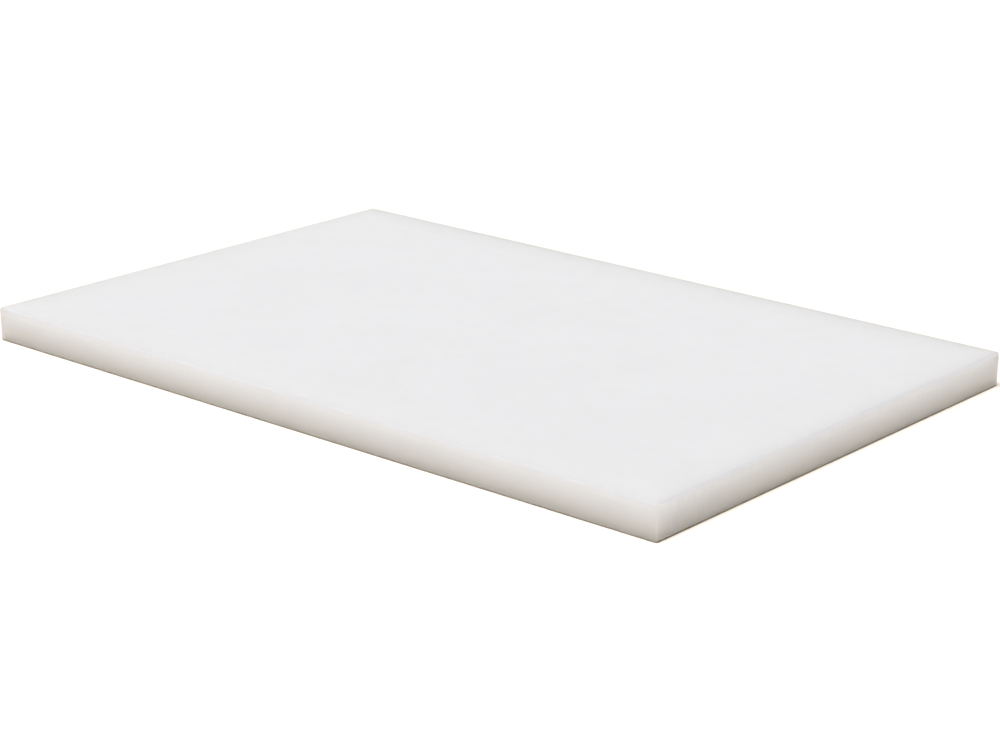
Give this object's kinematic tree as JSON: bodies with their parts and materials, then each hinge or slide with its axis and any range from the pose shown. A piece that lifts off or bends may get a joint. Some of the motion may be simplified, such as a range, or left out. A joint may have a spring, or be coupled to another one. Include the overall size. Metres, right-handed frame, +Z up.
{
  "type": "cutting board",
  "caption": "Plain white polyethylene cutting board: a flat rectangular slab with eased edges, laid on a worktop to cut food on.",
  "frame": {"origin": "centre of the underside, on the surface that the board rests on", "axes": "+X along the length, +Y across the width, +Z up through the thickness, out of the working face"},
  "size_m": [0.4572, 0.3048, 0.0191],
  "materials": {
    "white_polyethylene": "matte natural-white HDPE, slightly translucent at the edges, faint saw marks on the four sides"
  },
  "bodies": {
    "root": {"board": "white_polyethylene"}
  },
  "joints": []
}
